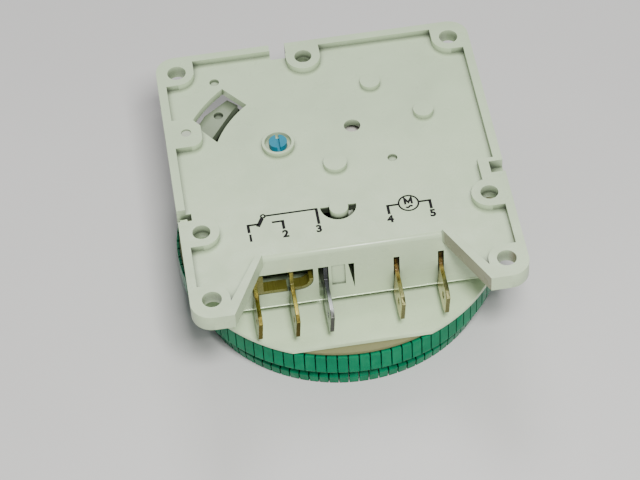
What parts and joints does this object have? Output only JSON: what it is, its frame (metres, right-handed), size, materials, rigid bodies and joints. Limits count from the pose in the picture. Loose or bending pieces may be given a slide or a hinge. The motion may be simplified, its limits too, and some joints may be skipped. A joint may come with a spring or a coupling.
{
  "type": "time switch module",
  "caption": "Mechanical 24-hour time switch module with a ring of sliding tripper segments, synchronous motor, gear train, changeover contact and quick-connect tabs",
  "frame": {"origin": "centre of the bounding box in X and Y, on the front plane that the tripper fingers touch", "axes": "+Z points to the rear plate, +Y to the end away from the terminals, +X to the right seen from behind"},
  "size_m": [0.0736, 0.0778, 0.036],
  "materials": {
    "cover": "satin moulding",
    "housing": "satin moulding",
    "dial": "satin moulding",
    "tripper": "glossy moulding",
    "gear_plastic": "satin moulding",
    "gear_black": "satin moulding",
    "frame_black": "satin moulding",
    "steel": "turned",
    "blue_arbor": "glossy moulding",
    "hands": "matt black",
    "stator": "zinc plated",
    "bobbin": "matt",
    "winding": "enamelled copper wire",
    "magnet": "ferrite",
    "tinned": "tinned brass",
    "terminal_brass": "stamped",
    "contact_silver": "polished",
    "spring_bronze": "rolled",
    "lever": "satin moulding"
  },
  "bodies": {
    "base": {"back_cover": "cover", "movement_housing": "housing", "movement_frame": "frame_black", "terminal_1": "terminal_brass", "terminal_2": "terminal_brass", "terminal_3": "tinned", "terminal_4": "terminal_brass", "terminal_5": "terminal_brass", "fixed_contacts": "contact_silver", "stator_cup": "stator", "stator_plate": "stator", "coil_bobbin": "bobbin", "coil_winding": "winding", "motor_leads": "tinned", "first_pin": "steel", "second_pin": "steel", "trip_pin": "steel", "lever_pin": "steel"},
    "dial": {"dial_disc": "dial", "dial_gear": "gear_plastic", "tripper_ring": "tripper"},
    "minute_train": {"centre_arbor": "steel", "minute_hand": "hands", "hand_cap": "hands", "clutch_spring": "steel"},
    "hour_train": {"hour_wheel": "gear_plastic", "hour_hand": "hands", "retaining_ring": "steel"},
    "setting": {"setting_arbor": "blue_arbor"},
    "clutch": {"clutch_wheel": "gear_black"},
    "second": {"second_wheel": "gear_plastic"},
    "first": {"first_wheel": "gear_plastic"},
    "rotor": {"rotor_magnet": "magnet", "rotor_pinion": "steel"},
    "lever": {"corner_lever": "lever"},
    "trip": {"trip_lever": "lever"},
    "blade": {"contact_blade": "spring_bronze", "moving_contact": "contact_silver"},
    "tripper_01": {"tripper_01": "tripper"},
    "tripper_02": {"tripper_02": "tripper"},
    "tripper_03": {"tripper_03": "tripper"},
    "tripper_04": {"tripper_04": "tripper"},
    "tripper_05": {"tripper_05": "tripper"},
    "tripper_06": {"tripper_06": "tripper"},
    "tripper_07": {"tripper_07": "tripper"},
    "tripper_08": {"tripper_08": "tripper"},
    "tripper_09": {"tripper_09": "tripper"},
    "tripper_10": {"tripper_10": "tripper"},
    "tripper_11": {"tripper_11": "tripper"},
    "tripper_12": {"tripper_12": "tripper"}
  },
  "joints": [
    {"name": "dial_turn", "type": "hinge", "parent": "base", "child": "dial", "pos_m": [0, 0.00065, 0.007], "axis": [0, 0, 1], "continuous": true},
    {"name": "setting_turn", "type": "hinge", "parent": "base", "child": "setting", "pos_m": [-0.01155, 0.0087, 0.02], "axis": [0, 0, 1], "continuous": true},
    {"name": "minute_turn", "type": "hinge", "parent": "base", "child": "minute_train", "pos_m": [0, 0.00065, 0.02], "axis": [0, 0, 1], "continuous": true},
    {"name": "hour_turn", "type": "hinge", "parent": "base", "child": "hour_train", "pos_m": [0, 0.00065, 0.008], "axis": [0, 0, 1], "continuous": true},
    {"name": "rotor_turn", "type": "hinge", "parent": "base", "child": "rotor", "pos_m": [0.0155, -0.0065, 0.02], "axis": [0, 0, 1], "continuous": true},
    {"name": "first_turn", "type": "hinge", "parent": "base", "child": "first", "pos_m": [0.0135, 0.0034, 0.025], "axis": [0, 0, 1], "continuous": true},
    {"name": "second_turn", "type": "hinge", "parent": "base", "child": "second", "pos_m": [0.0055, 0.01165, 0.028], "axis": [0, 0, 1], "continuous": true},
    {"name": "clutch_turn", "type": "hinge", "parent": "base", "child": "clutch", "pos_m": [0, 0.00065, 0.027], "axis": [0, 0, 1], "continuous": true},
    {"name": "corner_lever_turn", "type": "hinge", "parent": "base", "child": "lever", "pos_m": [-0.0313, 0.01485, 0.03], "axis": [0, 0, 1], "range_deg": [-6, 8]},
    {"name": "blade_flex", "type": "hinge", "parent": "base", "child": "blade", "pos_m": [-0.02085, -0.0165, 0.025], "axis": [0, 0, 1], "range_deg": [-4.1, 0.8], "stiffness_Nm_per_rad": 0.002},
    {"name": "trip_turn", "type": "hinge", "parent": "base", "child": "trip", "pos_m": [-0.00125, -0.0127, 0.03], "axis": [0, 0, 1], "range_deg": [-1.6, 8]},
    {"name": "tripper_01_slide", "type": "slide", "parent": "dial", "child": "tripper_01", "axis": [0, 1, 0], "range_m": [0, 0.0018]},
    {"name": "tripper_02_slide", "type": "slide", "parent": "dial", "child": "tripper_02", "axis": [-0.0654, 0.9979, 0], "range_m": [0, 0.0018]},
    {"name": "tripper_03_slide", "type": "slide", "parent": "dial", "child": "tripper_03", "axis": [-0.1305, 0.9914, 0], "range_m": [0, 0.0018]},
    {"name": "tripper_04_slide", "type": "slide", "parent": "dial", "child": "tripper_04", "axis": [-0.1951, 0.9808, 0], "range_m": [0, 0.0018]},
    {"name": "tripper_05_slide", "type": "slide", "parent": "dial", "child": "tripper_05", "axis": [-0.2588, 0.9659, 0], "range_m": [0, 0.0018]},
    {"name": "tripper_06_slide", "type": "slide", "parent": "dial", "child": "tripper_06", "axis": [-0.3214, 0.9469, 0], "range_m": [0, 0.0018]},
    {"name": "tripper_07_slide", "type": "slide", "parent": "dial", "child": "tripper_07", "axis": [-0.3827, 0.9239, 0], "range_m": [0, 0.0018]},
    {"name": "tripper_08_slide", "type": "slide", "parent": "dial", "child": "tripper_08", "axis": [-0.4423, 0.8969, 0], "range_m": [0, 0.0018]},
    {"name": "tripper_09_slide", "type": "slide", "parent": "dial", "child": "tripper_09", "axis": [-0.5, 0.866, 0], "range_m": [0, 0.0018]},
    {"name": "tripper_10_slide", "type": "slide", "parent": "dial", "child": "tripper_10", "axis": [-0.5556, 0.8315, 0], "range_m": [0, 0.0018]},
    {"name": "tripper_11_slide", "type": "slide", "parent": "dial", "child": "tripper_11", "axis": [-0.6088, 0.7934, 0], "range_m": [0, 0.0018]},
    {"name": "tripper_12_slide", "type": "slide", "parent": "dial", "child": "tripper_12", "axis": [-0.6593, 0.7518, 0], "range_m": [0, 0.0018]}
  ],
  "couplings": [
    {"joint": "setting_turn", "follows": "dial_turn", "ratio": -8},
    {"joint": "minute_turn", "follows": "dial_turn", "ratio": 24},
    {"joint": "hour_turn", "follows": "dial_turn", "ratio": 2},
    {"joint": "first_turn", "follows": "rotor_turn", "ratio": -0.22222},
    {"joint": "second_turn", "follows": "rotor_turn", "ratio": 0.049383},
    {"joint": "clutch_turn", "follows": "rotor_turn", "ratio": -0.010974},
    {"joint": "trip_turn", "follows": "blade_flex", "ratio": -1.84}
  ]
}
